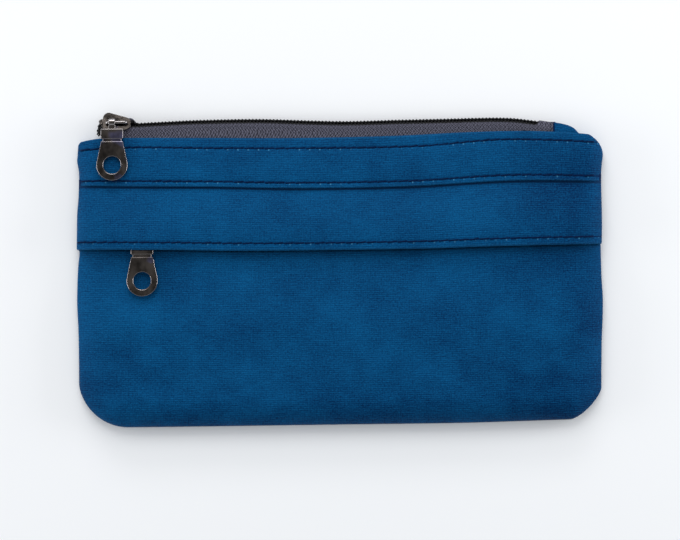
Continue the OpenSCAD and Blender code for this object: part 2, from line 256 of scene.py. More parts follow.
def mesh_of(bm, name, material, smooth_angle=40):
    """Turns a finished shape from millimetres up the pouch into a mesh in the frame."""
    bmesh.ops.transform(bm, matrix=Matrix.Translation((0, BOTTOM_Y, 0)), verts=bm.verts)
    bmesh.ops.scale(bm, vec=(MM, MM, MM), verts=bm.verts)
    mesh = bpy.data.meshes.new(name)
    bm.to_mesh(mesh)
    bm.free()
    mesh.polygons.foreach_set("use_smooth", [True] * len(mesh.polygons))
    mesh.set_sharp_from_angle(angle=math.radians(smooth_angle))
    piece = bpy.data.objects.new(name, mesh)
    bpy.context.scene.collection.objects.link(piece)
    mesh.materials.append(material)
    return piece


def finished(piece, kind, **settings):
    """Gives a piece one modifier and makes its result the mesh."""
    modifier = piece.modifiers.new(kind.lower(), kind)
    for setting, value in settings.items():
        setattr(modifier, setting, value)
    evaluated = piece.evaluated_get(bpy.context.evaluated_depsgraph_get())
    mesh = bpy.data.meshes.new_from_object(evaluated)
    piece.modifiers.clear()
    piece.data = mesh
    return piece


def placed(piece, slot, *nodes, body="pouch"):
    """A piece that rides on a body and stands for its CAD nodes."""
    if body:
        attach(piece, body)
    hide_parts(*nodes)
    return piece


def cloth(name, columns, rows, lay, material, thick):
    """A sheet of cloth. lay(u, v) gives a place and the flat cloth's own (x, y), for u from -1 to 1."""
    bm = bmesh.new()
    bmesh.ops.create_grid(bm, x_segments=columns, y_segments=rows, size=1)
    flat = {}
    for vert in bm.verts:
        place, on_cloth = lay(vert.co.x, (vert.co.y + 1) / 2)
        flat[vert] = Vector(on_cloth) * MM
        vert.co = place
    weave = bm.loops.layers.uv.new("flat")
    for face in bm.faces:
        for loop in face.loops:
            loop[weave].uv = flat[loop.vert]
    piece = mesh_of(bm, name, material, 180)
    return finished(piece, "SOLIDIFY", thickness=thick * MM, offset=-1.0)


def column(u):
    """Columns stand closer together towards the sides."""
    return math.sin(1.5 * u) / math.sin(1.5)


# ---- Canvas ----

def lay_lower_panel(u, v):
    x = HALF_W * column(u)
    start = bottom_edge(x)
    turned = 7
    run = start + (LOWER_EDGE + turned - start) * v**1.35
    y, depth = turned_under(run, LOWER_EDGE)
    fall = side_fall(x, y)
    z = settled(x, y, through(LOWER_TOP, y), PANEL_RIM) - depth * (0.4 + 0.6 * fall)
    inside = smooth((y - start) / 16) * smooth((HALF_W - abs(x)) / 20)
    z += (rumple(x, y, 34, 0.55) + rumple(x, y, 12, 0.16)) * inside
    place = (tucked(strayed(x, y, LOWER_SIDES), depth), y + wander(x, y), z)
    return place, (x, run)


def lay_band(u, v):
    x = HALF_W * column(u)
    tail = 5.5
    top = CANVAS_TOP - top_fall(x)
    low, high = BAND_EDGE - tail, top + tail
    run = mix(low, high, v)
    if run < (low + high) / 2:
        y, depth = turned_under(-run, -BAND_EDGE)
        y = -y
    else:
        y, depth = turned_under(run, top)
    fall = side_fall(x, y)
    z = settled(x, y, through(BAND_TOP, y), PANEL_RIM)
    z += pucker(x, y, TOP_STITCH) * fall + pucker(x, y, BAND_STITCH) * fall + rumple(x, y, 26, 0.25) * fall
    z -= depth * (0.4 + 0.6 * fall)
    past = run - top
    if past > 0:
        # At the corners the turned edge hangs down to the back and closes the pouch
        closing = smooth((abs(x) - 94) / 3)
        z = mix(z, mix(z, 1.2, min(1.0, past / (tail - 1))), closing)
        y = mix(y, top - 0.6, closing)
    place = (tucked(strayed(x, y, UPPER_SIDES), depth), y + wander(x, y), z)
    return place, (x, run)


def flap_height(x, y):
    z = settled(x, y, through(FLAP_TOP, y), FLAP_RIM)
    # The pull under the flap holds its edge up
    z += 0.75 * math.exp(-(((x + 79) / 15) ** 2)) * smooth((82 - y) / 10)
    return z + pucker(x, y, FLAP_STITCH) * 0.8 * side_fall(x, y)


def lay_flap(u, v):
    x = HALF_W * column(u)
    hem = 11
    run = mix(FLAP_EDGE - hem, 99, v)
    y, depth = turned_under(-run, -FLAP_EDGE, FLAP_FOLD_R)
    y = -y
    z = flap_height(x, y) - depth * (0.5 + 0.5 * side_fall(x, y))
    return (tucked(strayed(x, y, UPPER_SIDES), depth), y + wander(x, y), z), (x, run)


def lay_back(u, v):
    x = HALF_W * column(u)
    start = bottom_edge(x)
    # Its top edge stands above the canvas band only behind the zip
    behind = smooth((90 - abs(x)) / 4)
    top = mix(CANVAS_TOP - 0.9 - top_fall(x), BACK_TOP, behind)
    y = mix(start, top, v**1.2)
    border = min(HALF_W - abs(x), y - start, 3.0)
    z = CANVAS_T + 0.75 * (1 - border / 3) ** 2 + 0.45 * smooth((y - 112) / 2) * behind
    sides = LOWER_SIDES if y < LOWER_EDGE else UPPER_SIDES
    place = (strayed(x, y, sides) * 0.998, y + wander(x, y) + 0.1, z)
    return place, (x, y)


def lay_backing(u, v):
    x = (HALF_W - 0.7) * column(u)
    y = mix(83.5, 101, v)
    z = settled(x, y, 7.2, 1.7, HALF_W - 0.5) + rumple(x, y, 30, 0.12)
    return (x, y + wander(x, y), z), (x, y)


def lay_end_tab(u, v):
    """The tab wraps the zip's end: up its front, over the top and down its back."""
    left, right = 86.3, 96.6
    x = mix(left, right, (u + 1) / 2)
    top = through([(86, 120), (88.9, 119.6), (92.4, 118.7), (94.6, 117.5), (96.6, 115.4)], x)
    path = [(112, 6.7), (115, 6.9), (top - 0.7, 6.5), (top, 5.2), (top - 0.7, 3.9), (115, 2.6), (112, 1.6)]
    y, z = curve_at(path, v)
    pinch = 0.35 * math.exp(-(((x - left) / 0.5) ** 2))
    z += rumple(x * 3, y * 2, 6, 0.35) + (pinch if z > 5 else -pinch)
    return (x, y, z), (x, 112 + v * 22)


def make_canvas(canvas, flap_canvas):
    back = cloth("back_canvas", 200, 70, lay_back, canvas, CANVAS_T)
    placed(back, "canvas", "back_panel")

    lower = cloth("pocket_front_canvas", 240, 96, lay_lower_panel, canvas, CANVAS_T)
    placed(lower, "canvas", "lower_panel")

    band = cloth("band_canvas", 240, 64, lay_band, canvas, CANVAS_T)
    placed(band, "canvas", "top_band")

    flap = cloth("flap_canvas", 240, 76, lay_flap, flap_canvas, FLAP_T)
    placed(flap, "canvas", "zip_flap", body=None)
    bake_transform(flap)

    backing = cloth("flap_backing_canvas", 120, 18, lay_backing, canvas, CANVAS_T)
    placed(backing, "canvas", "flap_backing")

    tab = cloth("end_tab_canvas", 24, 40, lay_end_tab, canvas, CANVAS_T)
    placed(tab, "canvas", "zip_end_tab")


# ---- Linings ----

def lay_wall(lift, top):
    """The lining between the two compartments, or the pocket's own wall, lifted off it."""
    def lay(u, v):
        reach = HALF_W - 1.5
        x = reach * column(u)
        start = bottom_edge(x, reach) + 1.5
        y = mix(start, top, v**1.2)
        z = settled(x, y, through(LINING_TOP, y) + lift, 1.5 + lift, reach)
        return (x, y, z + rumple(x, y, 18, 0.12)), (x, y)
    return lay


def lay_back_lining(u, v):
    x = (HALF_W - 3) * column(u)
    y = mix(bottom_edge(x) + 3, 111, v)
    return (x, y, 0.95 + abs(rumple(x, y, 25, 0.25))), (x, y)


def make_linings(lining):
    back = cloth("back_lining_cloth", 100, 56, lay_back_lining, lining, LINING_T)
    placed(back, "lining", "back_lining")
    front = cloth("front_lining_cloth", 110, 70, lay_wall(0, 110), lining, LINING_T)
    placed(front, "lining", "front_lining")
    pocket = cloth("pocket_lining_cloth", 110, 60, lay_wall(0.4, 98), lining, LINING_T)
    placed(pocket, "lining", "pocket_lining")


# ---- Zips ----

def beside_slider(x):
    """1 where the slider holds both rows of the main zip flat, 0 away from it."""
    return smooth((-80.4 - x) / 3.0)


def main_chain(x):
    """The main zip's line at x: its middle, its outward direction, and each row's lean."""
    curl_from, curl_r = -93.8, 2.3
    turn = max(0.0, (curl_from - x) / curl_r)
    bend = min(turn, math.pi / 2)
    straight = (turn - bend) * curl_r
    along = x if turn == 0 else curl_from - curl_r * math.sin(bend)
    drop = curl_r * (1 - math.cos(bend)) + straight
    held = beside_slider(x)
    twist = 62 * smooth(turn / 1.2)
    middle = Vector((along, CHAIN_Y + through(CHAIN_WANDER, x) - drop, CHAIN_Z - 0.5 * smooth(turn)))
    outward = Vector((-math.sin(bend), math.cos(bend), 0))
    return middle, outward, LEAN + twist, mix(84, LEAN + twist, held)


def pocket_chain(x):
    return Vector((x, POCKET_CHAIN_Y, POCKET_CHAIN_Z)), Vector((0, 1, 0)), 0, 0


def on_chain(chain, x, s, n):
    """A point s across a zip from its middle, and n out of its face."""
    middle, outward, front, back = chain(x)
    lean = math.radians(back if s > 0 else front)
    up = Vector((0, 0, 1))
    across = outward * math.cos(lean) - up * math.sin(lean)
    out = outward * math.sin(lean) + up * math.cos(lean)
    return middle + across * s + out * n


def coil(name, chain, span, side, material):
    """One row of a zip's coil: a round wire wound into flat turns, its tips at the zip's middle."""
    turns = round((span[1] - span[0]) / COIL_PITCH)
    steps = 12 * turns
    wire, core_r = 0.36, 1.06
    middle = (ROW_IN + ROW_OUT) / 2
    half_s, half_n = (ROW_OUT - ROW_IN) / 2 - wire, 0.72 - wire
    bm = bmesh.new()
    ring = bmesh.ops.create_circle(bm, segments=6, radius=wire)["verts"]
    bmesh.ops.rotate(bm, verts=ring, cent=(0, 0, 0), matrix=Matrix.Rotation(math.pi / 2, 3, "Y"))
    bmesh.ops.rotate(bm, verts=ring, cent=(0, 0, 0), matrix=Matrix.Rotation(math.pi / 2, 3, "Z"))
    bmesh.ops.translate(bm, verts=ring, vec=(0, 0, 1))
    bmesh.ops.spin(
        bm, geom=bm.verts[:] + bm.edges[:], cent=(0, 0, 0), axis=(1, 0, 0),
        dvec=(COIL_PITCH / 12, 0, 0), angle=2 * math.pi * turns, steps=steps,
    )
    bmesh.ops.remove_doubles(bm, verts=bm.verts, dist=0.0001)
    bmesh.ops.holes_fill(bm, edges=[e for e in bm.edges if e.is_boundary], sides=6)
    offset = 0 if side < 0 else COIL_PITCH / 2
    # A core closes the gaps between the turns
    core = bmesh.ops.create_cone(
        bm, segments=8, radius1=core_r, radius2=core_r, depth=turns * COIL_PITCH, cap_ends=True,
    )["verts"]
    bmesh.ops.rotate(bm, verts=core, cent=(0, 0, 0), matrix=Matrix.Rotation(math.pi / 2, 3, "Y"))
    bmesh.ops.translate(bm, verts=core, vec=(turns * COIL_PITCH / 2, 0, 0))
    ends = set(core)
    sides = [e for e in bm.edges if e.verts[0] in ends and abs(e.verts[0].co.x - e.verts[1].co.x) > 9]
    bmesh.ops.subdivide_edges(bm, edges=sides, cuts=2 * turns)
    bmesh.ops.recalc_face_normals(bm, faces=bm.faces)
    for vert in bm.verts:
        radius = math.hypot(vert.co.y, vert.co.z)
        out_y, out_z = vert.co.y / radius, vert.co.z / radius
        s = side * middle + out_y * (half_s + radius - 1)
        n = out_z * (half_n + radius - 1)
        vert.co = on_chain(chain, span[0] + offset + vert.co.x, s, n)
    return mesh_of(bm, name, material, 80)


def clip(name, chain, x, length, material, thick):
    """Two small metal clips side by side, one pressed round each row of a zip."""
    bm = bmesh.new()
    for side in (-1, 1):
        made = bmesh.ops.create_cube(bm, size=1)["verts"]
        bmesh.ops.scale(bm, vec=(length, ROW_OUT - ROW_IN + 0.25, thick), verts=made)
        bmesh.ops.translate(bm, vec=(0, side * (ROW_IN + ROW_OUT) / 2, 0), verts=made)
    bmesh.ops.bevel(
        bm, geom=bm.edges[:], offset=0.35, segments=3, profile=0.5, affect="EDGES", material=-1,
    )
    for vert in bm.verts:
        vert.co = on_chain(chain, x + vert.co.x, vert.co.y, vert.co.z)
    return mesh_of(bm, name, material)


def lay_main_tape_front(u, v):
    """From under the band's turned edge up over the coil, leaving only the tips of the teeth bare."""
    x = mix(-93.5, 87.2, (u + 1) / 2)
    past = smooth((x - 79.3) / 1.6)
    edge = CANVAS_TOP + wander(x, CANVAS_TOP)
    spots = ((-3.9, 0.5), (-2.5, 0.85), (-1.6, 0.8), (mix(-1.3, 0.3, past), mix(0.5, 0.9, past)),
             (mix(-0.9, 0.8, past), mix(0.2, 0.8, past)))
    places = [on_chain(main_chain, x, s, n) for s, n in spots]
    path = [(109.5, 7.2), (112.5, 7.1), (edge, 6.55)] + [(p.y, p.z) for p in places]
    y, z = curve_at(path, v)
    return (x, y, z), (x, v * 13)


def lay_main_tape_back(u, v):
    """Over the slider's far side, and elsewhere folded down behind the teeth, then under to the back."""
    x = mix(-93.2, 87.2, (u + 1) / 2)
    middle = main_chain(x)[0]
    held = beside_slider(x)
    folded = [on_chain(main_chain, x, s, 0.05) for s in (0.9, 1.8, 2.7)]
    path = [(p.y, p.z) for p in folded]
    far_y = middle.y + mix(0.1, 2.5, held)
    path += [(far_y, mix(1.9, 3.4, held)), (far_y - mix(1.2, 0.3, held), mix(1.15, 1.7, held))]
    path += [(mix(118, 121, held), 1.5), (112, 1.5)]
    y, z = curve_at(path, v)
    return (x, y, z), (x, v * mix(14, 20, held))


def lay_pocket_tape(side, far):
    def lay(u, v):
        x = mix(-86.5, 84, (u + 1) / 2)
        share = v if side > 0 else 1 - v
        y = POCKET_CHAIN_Y + side * mix(0.9, far, share)
        near = 0.95 * (1 - smooth((share * far - 2.0) / 1.3))
        z = POCKET_CHAIN_Z + near + (0.9 * smooth((share * far - 6.5) / 4) if side < 0 else 0)
        return (x, y, z), (x, share * far)
    return lay


def make_zips(tape, plastic, metal):
    front = cloth("main_zip_tape_front", 220, 30, lay_main_tape_front, tape, TAPE_T)
    placed(front, "zip_tape", "main_tape_front")
    back = cloth("main_zip_tape_back", 220, 34, lay_main_tape_back, tape, TAPE_T)
    placed(back, "zip_tape", "main_tape_back")
    upper = cloth("pocket_zip_tape_upper", 150, 16, lay_pocket_tape(1, 11.4), tape, TAPE_T)
    placed(upper, "zip_tape", "pocket_tape_upper")
    lower = cloth("pocket_zip_tape_lower", 150, 16, lay_pocket_tape(-1, 12), tape, TAPE_T)
    placed(lower, "zip_tape", "pocket_tape_lower")

    main, pocket = (-99.4, 79.4), (-83.2, 78.8)
    placed(coil("main_coil_row_front", main_chain, main, -1, plastic), "zip_coil", "main_coil_front")
    placed(coil("main_coil_row_back", main_chain, main, 1, plastic), "zip_coil", "main_coil_back")
    placed(coil("pocket_coil_row_lower", pocket_chain, pocket, -1, plastic), "zip_coil", "pocket_coil_lower")
    placed(coil("pocket_coil_row_upper", pocket_chain, pocket, 1, plastic), "zip_coil", "pocket_coil_upper")

    for name, chain, x, length, thick, node in (
        ("main_zip_top_clips", main_chain, -94.6, 1.2, 1.75, "main_top_stops"),
        ("main_zip_end_clip", main_chain, 83.3, 1.5, 0.75, "main_bottom_stop"),
        ("pocket_zip_top_clips", pocket_chain, -84, 1.6, 1.75, "pocket_top_stops"),
        ("pocket_zip_end_clip", pocket_chain, 79.6, 1.6, 1.75, "pocket_bottom_stop"),
    ):
        placed(clip(name, chain, x, length, metal, thick), "black_nickel", node)


# ---- Sliders and pulls ----

def eased(node, name, material, width, at, taper_from):
    """A CAD node's metal shape with its edges eased. It narrows from taper_from before its hinge."""
    bm = bmesh.new()
    bm.from_mesh(frame["nodes"][node].data)
    bmesh.ops.scale(bm, vec=(1 / MM,) * 3, verts=bm.verts)
    bmesh.ops.remove_doubles(bm, verts=bm.verts, dist=0.002)
    bmesh.ops.dissolve_limit(bm, angle_limit=math.radians(2), verts=bm.verts, edges=bm.edges)
    bmesh.ops.recalc_face_normals(bm, faces=bm.faces)
    bmesh.ops.translate(bm, vec=(0, -BOTTOM_Y, 0), verts=bm.verts)
    for vert in bm.verts:
        # A slider narrows towards the closed side of its zip
        narrow = NARROWING * smooth((vert.co.x - at.x + taper_from) / 6)
        vert.co.y = mix(vert.co.y, at.y - BOTTOM_Y, narrow)
    piece = mesh_of(bm, name, material, 30)
    return wear_and_painted_highlight(finished(
        piece, "BEVEL", width=width * MM, segments=3, limit_method="ANGLE", angle_limit=math.radians(32),
    ))


def wear_and_painted_highlight(piece):
    """Marks the eased edges of a metal piece, where its colour gets a painted highlight."""
    mark = piece.data.attributes.new("edge", "FLOAT", "CORNER")
    for face in piece.data.polygons:
        rise = face.normal.z
        # Only faces between flat and upright are an edge
        share = smooth((0.96 - rise) / 0.06) * smooth((rise - 0.2) / 0.2)
        for corner in face.loop_indices:
            mark.data[corner].value = share
    return piece


def pull(name, hinge, slope, x, material):
    """A pull: a loop on the bail, a cross block, a groove, then a teardrop plate with a round hole."""
    length, round_r, hole_r, half_t = 23.5, 6.25, 3.5, 0.75
    neck_y, neck_w = -7.6, 8.7
    loop_width = 2.7
    hole = Vector((0, round_r - length, 0))
    bm = bmesh.new()
    count = 56
    bmesh.ops.create_circle(bm, segments=count, radius=hole_r)
    outer = bmesh.ops.create_circle(bm, segments=count, radius=round_r)["verts"]
    neck = Vector((neck_w / 2, neck_y - hole.y))
    shoulder = math.atan2(neck.y, neck.x)
    touch = shoulder - math.acos(round_r / neck.length)
    for vert in outer:
        rise = math.atan2(vert.co.y, abs(vert.co.x))
        if abs(rise - shoulder) < math.pi / count:
            rise = shoulder
        reach = round_r if rise < touch else round_r / math.cos(rise - touch)
        if rise > shoulder:
            reach = neck.y / math.sin(rise)
        vert.co = (math.copysign(math.cos(rise), vert.co.x) * reach, math.sin(rise) * reach, 0)
    bmesh.ops.bridge_loops(bm, edges=bm.edges[:])
    bmesh.ops.translate(bm, vec=hole, verts=bm.verts)
    bmesh.ops.translate(bm, vec=(0, 0, -half_t), verts=bm.verts)
    plate = bmesh.ops.extrude_face_region(bm, geom=bm.faces[:])
    lifted = [g for g in plate["geom"] if isinstance(g, bmesh.types.BMVert)]
    bmesh.ops.translate(bm, vec=(0, 0, 2 * half_t), verts=lifted)
    bmesh.ops.recalc_face_normals(bm, faces=bm.faces)
    # The groove, the cross block and the stem, each as (far side, near side, width, half thickness)
    for low, high, width, half in ((7.7, 6.5, 7.6, 0.36), (6.75, 2.6, 9.0, 0.88), (2.6, 1.3, 2.7, 0.7)):
        block = bmesh.ops.create_cube(bm, size=1)["verts"]
        overlap = 0.9 if width < 8 else 0
        bmesh.ops.scale(bm, vec=(width, low - high + overlap, 2 * half), verts=block)
        bmesh.ops.translate(bm, vec=(0, -(low + high) / 2, 0), verts=block)
    loop = bmesh.ops.create_circle(bm, segments=24, radius=1.5)["verts"]
    bore = bmesh.ops.create_circle(bm, segments=24, radius=0.75)["verts"]
    both = set(loop + bore)
    rim = [e for e in bm.edges if e.verts[0] in both and e.verts[1] in both]
    wall = bmesh.ops.bridge_loops(bm, edges=rim)["faces"]
    tube = bmesh.ops.extrude_face_region(bm, geom=wall)["geom"]
    far = [g for g in tube if isinstance(g, bmesh.types.BMVert)]
    bmesh.ops.translate(bm, vec=(0, 0, loop_width), verts=far)
    ring = list(set(loop + bore + far))
    bmesh.ops.translate(bm, vec=(0, 0, -loop_width / 2), verts=ring)
    bmesh.ops.rotate(bm, verts=ring, cent=(0, 0, 0), matrix=Matrix.Rotation(math.pi / 2, 3, "Y"))
    bmesh.ops.recalc_face_normals(bm, faces=bm.faces)
    bmesh.ops.rotate(bm, verts=bm.verts, cent=(0, 0, 0), matrix=Matrix.Rotation(math.radians(slope), 3, "X"))
    bmesh.ops.translate(bm, vec=(x, hinge.y - BOTTOM_Y, hinge.z), verts=bm.verts)
    piece = mesh_of(bm, name, material, 30)
    return wear_and_painted_highlight(finished(
        piece, "BEVEL", width=0.62 * MM, segments=3, limit_method="ANGLE", angle_limit=math.radians(40),
    ))


def make_metal(metal):
    for zip_name, hinge, slope, x in (
        ("main", MAIN_PULL_AT, -5.5, -90.4), ("pocket", POCKET_PULL_AT, -4.4, -78.9),
    ):
        body = f"{zip_name}_slider"
        node = f"{zip_name}_slider_body"
        shell = eased(node, f"{zip_name}_slider_shell", metal, 0.55, hinge, 0.5)
        placed(shell, "black_nickel", node, body=body)
        node = f"{zip_name}_slider_crown"
        bail = eased(node, f"{zip_name}_slider_bail", metal, 0.05, hinge, NO_TAPER)
        placed(bail, "black_nickel", node, body=body)
        node = f"{zip_name}_pull"
        placed(pull(f"{zip_name}_ring_pull", hinge, slope, x, metal), "black_nickel", node, body=node)


# ---- Stitching ----

def stitches(name, y, height, material, node, body="pouch", span=(-103.6, 103.8), under=False):
    """A row of thread: each stitch lies in the cloth's surface and dips at both ends."""
    bm = bmesh.new()
    length = STITCH_PITCH - 0.05
    r, point = 0.32, 1.6
    count = int((span[1] - span[0]) / STITCH_PITCH)
    for i in range(count):
        start = span[0] + i * STITCH_PITCH + draw.uniform(-0.12, 0.12)
        slant = math.radians(draw.uniform(3, 8.5))
        lift = draw.uniform(-0.05, 0.05)
        made = bmesh.ops.create_uvsphere(bm, u_segments=8, v_segments=6, radius=r)["verts"]
        bmesh.ops.rotate(bm, verts=made, cent=(0, 0, 0), matrix=Matrix.Rotation(math.pi / 2, 3, "Y"))
        for vert in made:
            vert.co.x = vert.co.x * point + math.copysign(length / 2 - point * r, vert.co.x)
            share = vert.co.x / (length / 2)
            x = start + length / 2 + vert.co.x
            away = vert.co.y + vert.co.x * math.sin(slant) + lift
            z = height(x) + (0.1 - 0.3 * share**6 + vert.co.z) * (-1 if under else 1)
            edge = smooth((abs(x) - 94) / 8)
            if under:
                vert.co = (x, y + away, z)
            else:
                out = math.copysign(0.25 * edge, x)
                place = (strayed(x, y, UPPER_SIDES) + out, y + wander(x, y) + away, z + 0.3 * edge)
                vert.co = place
    bmesh.ops.recalc_face_normals(bm, faces=bm.faces)
    piece = mesh_of(bm, name, material, 80)
    return placed(piece, "thread", node, body=body)


def band_height(y):
    def height(x):
        z = settled(x, y, through(BAND_TOP, y), PANEL_RIM) + rumple(x, y, 26, 0.25) * side_fall(x, y)
        return z + pucker(x, y, y) * side_fall(x, y)
    return height


def make_stitches(thread):
    top = band_height(TOP_STITCH)
    stitches("top_edge_thread", TOP_STITCH, top, thread, "top_edge_stitches", span=(-103.4, 102.4))
    stitches("band_thread", BAND_STITCH, band_height(BAND_STITCH), thread, "band_stitches")
    stitches(
        "flap_thread", FLAP_STITCH, lambda x: flap_height(x, FLAP_STITCH), thread, "flap_stitches",
        body="flap", span=(-104.2, 104.4),
    )
    stitches(
        "back_edge_thread", BACK_STITCH, lambda x: 0.44, thread, "back_edge_stitches",
        span=(-96.4, 85), under=True,
    )


# ---- Finishes ----

class Value:
    """A number in a material, so that a sum written on it becomes the material's own maths."""

    def __init__(self, look, socket):
        self.look, self.socket = look, socket

    def maths(self, operation, *others, clamp=False):
        given = {0: self.socket}
        for i, other in enumerate(others):
            given[i + 1] = other.socket if isinstance(other, Value) else other
        settings = {"operation": operation, "use_clamp": clamp}
        return self.look.node("ShaderNodeMath", settings, given).value()

    def __add__(self, other):
        return self.maths("ADD", other)

    def __sub__(self, other):
        return self.maths("SUBTRACT", other)

    def __mul__(self, other):
        return self.maths("MULTIPLY", other)

    def __truediv__(self, other):
        return self.maths("DIVIDE", other)

    def __rsub__(self, other):
        return self.maths("MULTIPLY", -1) + other

    __radd__ = __add__
    __rmul__ = __mul__

    def sine(self):
        return self.maths("SINE")

    def size(self):
        return self.maths("ABSOLUTE")

    def clamped(self):
        return self.maths("ADD", 0.0, clamp=True)

    def wrapped(self, length):
        return self.maths("WRAP", length, 0.0)

    def step(self, low, high):
        """0 below low and 1 above high, with a smooth rise between."""
        settings = {"interpolation_type": "SMOOTHSTEP"}
        node = self.look.node("ShaderNodeMapRange", settings, {0: self, 1: low, 2: high})
        return node.value()


class Added:
    """A node just added to a material."""

    def __init__(self, look, node):
        self.look, self.node = look, node

    def value(self, output=0):
        return Value(self.look, self.node.outputs[output])


class Look:
    """One material, with its nodes."""

    def __init__(self, name, **constants):
        self.material = bpy.data.materials.new(name)
        self.material.use_nodes = True
        self.tree = self.material.node_tree
        self.shader = self.tree.nodes["Principled BSDF"]
        for socket, value in constants.items():
            self.shader.inputs[socket.replace("_", " ")].default_value = value

    def node(self, kind, settings, given):
        made = self.tree.nodes.new(kind)
        for setting, value in settings.items():
            setattr(made, setting, value)
        for socket, value in given.items():
            if isinstance(value, Value):
                value = value.socket
            if isinstance(value, bpy.types.NodeSocket):
                self.tree.links.new(value, made.inputs[socket])
            else:
                made.inputs[socket].default_value = value
        return Added(self, made)

    def feed(self, socket, value):
        self.tree.links.new(value.socket, self.shader.inputs[socket])

    def flat_cloth(self):
        """Where a point is on the flat cloth, in millimetres: (along, up, both as a vector)."""
        uv = self.node("ShaderNodeUVMap", {"uv_map": "flat"}, {}).value()
        scaled = self.node("ShaderNodeVectorMath", {"operation": "SCALE"}, {0: uv, "Scale": 1 / MM}).value()
        parts = self.node("ShaderNodeSeparateXYZ", {}, {0: scaled})
        return parts.value(0), parts.value(1), scaled

    def place(self):
        """Where a point is on the piece, in millimetres."""
        at = self.node("ShaderNodeTexCoord", {}, {}).value("Object")
        return self.node("ShaderNodeVectorMath", {"operation": "SCALE"}, {0: at, "Scale": 1 / MM}).value()

    def grain(self, at, stretch, detail=3.0, rough=0.55):
        """Noise from 0 to 1 whose lumps are stretch long, in millimetres, along each axis."""
        turned = self.node("ShaderNodeMapping", {}, {0: at, "Scale": [1 / s for s in stretch]}).value()
        given = {"Vector": turned, "Scale": 1.0, "Detail": detail, "Roughness": rough}
        return self.node("ShaderNodeTexNoise", {}, given).value()

    def blend(self, share, low, high):
        """A colour between two others."""
        given = {0: share, 6: low, 7: high}
        return self.node("ShaderNodeMix", {"data_type": "RGBA"}, given).value(2)

    def bump(self, height, distance, strength=1.0):
        given = {"Height": height, "Distance": distance * MM, "Strength": strength}
        self.feed("Normal", self.node("ShaderNodeBump", {}, given).value())


def paint(red, green, blue):
    """A colour given as it looks on a screen, from 0 to 255."""
    def light(c):
        c /= 255
        return c / 12.92 if c <= 0.04045 else ((c + 0.055) / 1.055) ** 2.4
    return (light(red), light(green), light(blue), 1.0)


def canvas_look(name, shaded_crease_at=None):
    """Waxed canvas: fine ribs, slubs and flecks, a waxy bloom, paler folds, painted shade in the stitch
    grooves and creases, and painted shade darker towards the right and the bottom.
    """
    look = Look(name, Specular_IOR_Level=0.03)
    along, up, cloth_at = look.flat_cloth()
    wobble = look.grain(cloth_at, (3.5, 3.5, 1), 2)
    weft = ((up + wobble * 0.5) * (2 * math.pi / 0.84)).sine() * 0.5
    warp = ((along + wobble * 0.4) * (2 * math.pi / 0.7)).sine() * 0.5
    slub = look.grain(cloth_at, (5.5, 0.5, 1), 3, 0.6) - 0.5
    fleck = look.grain(cloth_at, (0.8, 0.6, 1), 2, 0.7) - 0.5
    bloom = look.grain(cloth_at, (36, 26, 1), 4, 0.5) - 0.5
    patch = look.grain(cloth_at, (9, 7, 1), 3, 0.6) - 0.5

    folds = None
    for fold in (FLAP_EDGE, BAND_EDGE, CANVAS_TOP, LOWER_EDGE):
        near = 1 - (up - fold).size().step(0.3, 1.1)
        folds = near if folds is None else folds.maths("MAXIMUM", near)
    marks = painted_seam_shade = None
    phase = ((along + 102) / STITCH_PITCH).wrapped(1.0)
    hole = 1 - (phase - 0.04).size().step(0.05, 0.13)
    for row in (TOP_STITCH, BAND_STITCH, FLAP_STITCH):
        near = 1 - (up - row + 0.6).size().step(0.12, 0.5)
        # Painted shade in the groove along each stitch row
        groove = 1 - (up - row).size().step(0.15, 0.55)
        marks = near if marks is None else marks.maths("MAXIMUM", near)
        painted_seam_shade = groove if painted_seam_shade is None else painted_seam_shade.maths("MAXIMUM", groove)
    marks = marks * hole * look.grain(cloth_at, (2.6, 2.6, 1), 1).step(0.42, 0.62)

    shade = weft * (fleck * 0.8 + 0.22) + warp * 0.14 + slub * 0.7 + fleck * 1.5 + patch * 0.4
    # Painted shade: darker towards the right and towards the bottom edge
    shade = shade + bloom * 0.9 + 0.53 - along.step(30, 110) * 0.16 - (1 - up.step(-2, 30)) * 0.15
    # Painted shade in the crease along the end tab's folded side, beside the tape
    tab_fold_shade = (1 - (along - 86.4).size().step(0.12, 0.55)) * (up - 116).step(0, 0.6) * 1.4
    painted_seam_shade = painted_seam_shade.maths("MAXIMUM", tab_fold_shade)
    if shaded_crease_at:
        # Painted shade: the cloth is darker in the crease where it goes under its neighbour
        painted_seam_shade = painted_seam_shade.maths("MAXIMUM", (up - shaded_crease_at).step(-1.15, -0.45) * 1.35)
    # Paler along the folds and at the needle holes
    pale_folds_and_marks = folds * 0.07 + marks * 0.8
    cloth = look.blend(shade.clamped(), paint(0, 36, 75), paint(8, 85, 135))
    # Painted shade in the stitch grooves, the creases and the end tab's fold
    cloth = look.blend(painted_seam_shade * 0.7, cloth, paint(0, 28, 66))
    cloth = look.blend(pale_folds_and_marks.clamped() * (fleck + 0.6), cloth, paint(72, 140, 178))
    look.feed("Base Color", cloth)
    look.feed("Roughness", bloom * 0.16 + fleck * 0.12 + 0.62)
    look.bump(weft * 0.6 + warp * 0.3 + slub * 0.5 + fleck * 0.6, 0.14, 0.7)
    return look.material


def lining_look():
    look = Look("grey_lining", Specular_IOR_Level=0.2)
    along, up, at = look.flat_cloth()
    threads = (along * (2 * math.pi / 0.5)).sine() * 0.25 + (up * (2 * math.pi / 0.5)).sine() * 0.25
    fleck = look.grain(at, (1.2, 0.4, 1), 3)
    share = (threads + fleck).clamped()
    look.feed("Base Color", look.blend(share, paint(118, 120, 126), paint(160, 162, 168)))
    look.feed("Roughness", fleck * 0.2 + 0.7)
    look.bump(threads + fleck * 0.5, 0.08)
    return look.material


